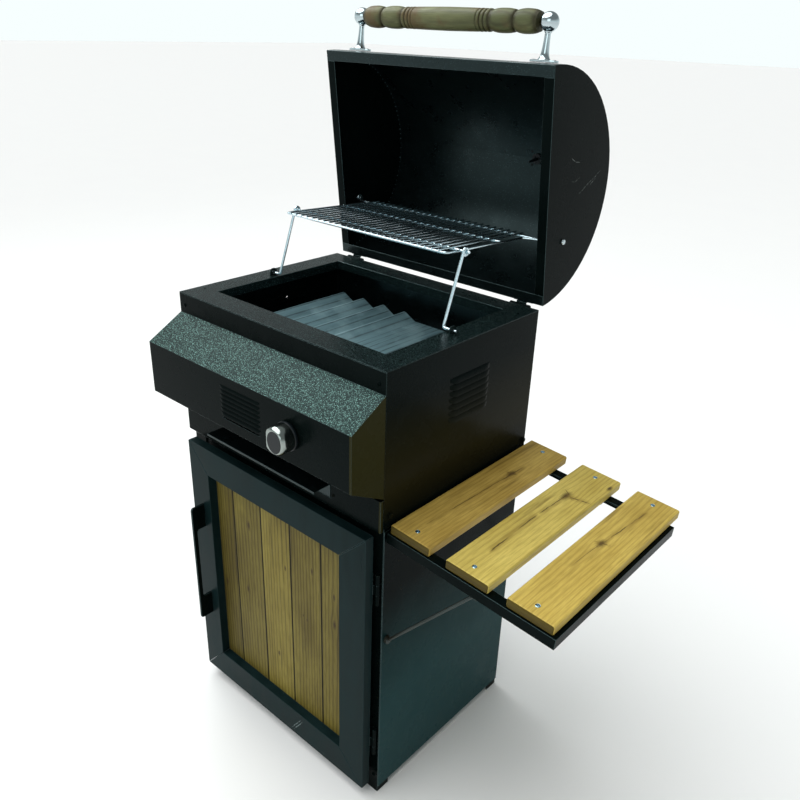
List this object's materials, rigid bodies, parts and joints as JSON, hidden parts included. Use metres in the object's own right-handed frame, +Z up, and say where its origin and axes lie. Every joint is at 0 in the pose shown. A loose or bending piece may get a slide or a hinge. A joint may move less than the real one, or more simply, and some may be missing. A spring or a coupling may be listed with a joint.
{
  "type": "gas barbecue cart",
  "caption": "Gas barbecue on a closed cabinet: a barrel lid with a turned wooden handle, a swinging warming rack, a wood-panelled door, a drip tray and a slatted side shelf.",
  "frame": {"origin": "centre of the whole object on the floor", "axes": "+Z up, -Y towards the front with the door and knob, +X towards the side shelf"},
  "size_m": [0.8088, 0.6944, 1.3257],
  "materials": {
    "black_paint": "satin",
    "slate_paint": "satin",
    "pine": "oiled",
    "stained_wood": "satin",
    "chrome": "polished",
    "zinc_steel": "zinc plated",
    "aluminised_steel": "dull",
    "brass": "satin",
    "magnet": "matt"
  },
  "bodies": {
    "cart": {"body_hinge_leaf_left": "zinc_steel", "body_hinge_leaf_right": "zinc_steel", "burner_tube": "zinc_steel", "cabinet_back": "black_paint", "cabinet_floor": "black_paint", "cabinet_hinge_leaf_lower": "zinc_steel", "cabinet_hinge_leaf_upper": "zinc_steel", "cabinet_leg_front_left": "black_paint", "cabinet_leg_front_right": "black_paint", "cabinet_leg_rear_left": "black_paint", "cabinet_leg_rear_right": "black_paint", "cabinet_side_left": "black_paint", "cabinet_side_right": "black_paint", "cabinet_top_frame": "black_paint", "control_panel": "black_paint", "door_magnet": "magnet", "firebox_back": "black_paint", "firebox_base": "black_paint", "firebox_front": "black_paint", "firebox_rim": "black_paint", "firebox_side_left": "black_paint", "firebox_side_right": "black_paint", "gas_valve": "brass", "heat_plate": "aluminised_steel", "shelf_frame": "black_paint", "shelf_slat_inner": "pine", "shelf_slat_middle": "pine", "shelf_slat_outer": "pine", "shelf_stay_front": "zinc_steel", "shelf_stay_rear": "zinc_steel", "tray_runner_left": "zinc_steel", "tray_runner_right": "zinc_steel", "tray_surround": "black_paint"},
    "lid": {"lid_shell": "black_paint", "lid_end_left": "black_paint", "lid_end_right": "black_paint", "lid_handle_grip": "stained_wood", "lid_handle_post_left": "chrome", "lid_handle_post_right": "chrome", "lid_hinge_leaf_left": "zinc_steel", "lid_hinge_leaf_right": "zinc_steel", "lid_temperature_gauge": "chrome", "rack_pivot_bolt_left": "zinc_steel", "rack_pivot_bolt_right": "zinc_steel"},
    "rack": {"warming_rack": "chrome"},
    "rack_leg_left": {"rack_leg_left": "chrome"},
    "rack_leg_right": {"rack_leg_right": "chrome"},
    "door": {"door_frame": "slate_paint", "door_handle": "slate_paint", "door_hinge_leaf_upper": "zinc_steel", "door_hinge_leaf_lower": "zinc_steel", "door_board_1": "stained_wood", "door_board_2": "stained_wood", "door_board_3": "stained_wood", "door_board_4": "stained_wood", "door_board_5": "stained_wood"},
    "tray": {"drip_tray": "black_paint"},
    "stem": {"valve_stem": "zinc_steel"},
    "knob": {"control_knob": "chrome"}
  },
  "joints": [
    {"name": "lid_hinge", "type": "hinge", "parent": "cart", "child": "lid", "pos_m": [-0.15261, 0.1508, 0.853], "axis": [1, 0, 0], "range_deg": [0, 83.7]},
    {"name": "rack_pivot", "type": "hinge", "parent": "lid", "child": "rack", "pos_m": [-0.15261, 0.19742, 0.9675], "axis": [1, 0, 0], "range_deg": [-83.7, 0]},
    {"name": "rack_leg_left_pivot", "type": "hinge", "parent": "cart", "child": "rack_leg_left", "pos_m": [-0.15261, -0.05806, 0.86285], "axis": [1, 0, 0], "range_deg": [0, 83.7]},
    {"name": "rack_leg_right_pivot", "type": "hinge", "parent": "cart", "child": "rack_leg_right", "pos_m": [-0.15261, -0.05806, 0.86285], "axis": [1, 0, 0], "range_deg": [0, 83.7]},
    {"name": "door_hinge", "type": "hinge", "parent": "cart", "child": "door", "pos_m": [0.08789, -0.245, 0.3], "axis": [0, 0, 1], "range_deg": [0, 105]},
    {"name": "tray_slide", "type": "slide", "parent": "cart", "child": "tray", "axis": [0, -1, 0], "range_m": [0, 0.25]},
    {"name": "knob_push", "type": "slide", "parent": "cart", "child": "stem", "axis": [0, 1, 0], "range_m": [0, 0.003], "stiffness_N_per_m": 600, "springref_m": -0.004},
    {"name": "knob_turn", "type": "hinge", "parent": "stem", "child": "knob", "pos_m": [-0.03461, -0.3312, 0.735], "axis": [0, -1, 0], "range_deg": [0, 180]}
  ],
  "couplings": [
    {"joint": "rack_pivot", "follows": "lid_hinge", "ratio": -1},
    {"joint": "rack_leg_left_pivot", "follows": "lid_hinge", "ratio": 1},
    {"joint": "rack_leg_right_pivot", "follows": "lid_hinge", "ratio": 1}
  ]
}
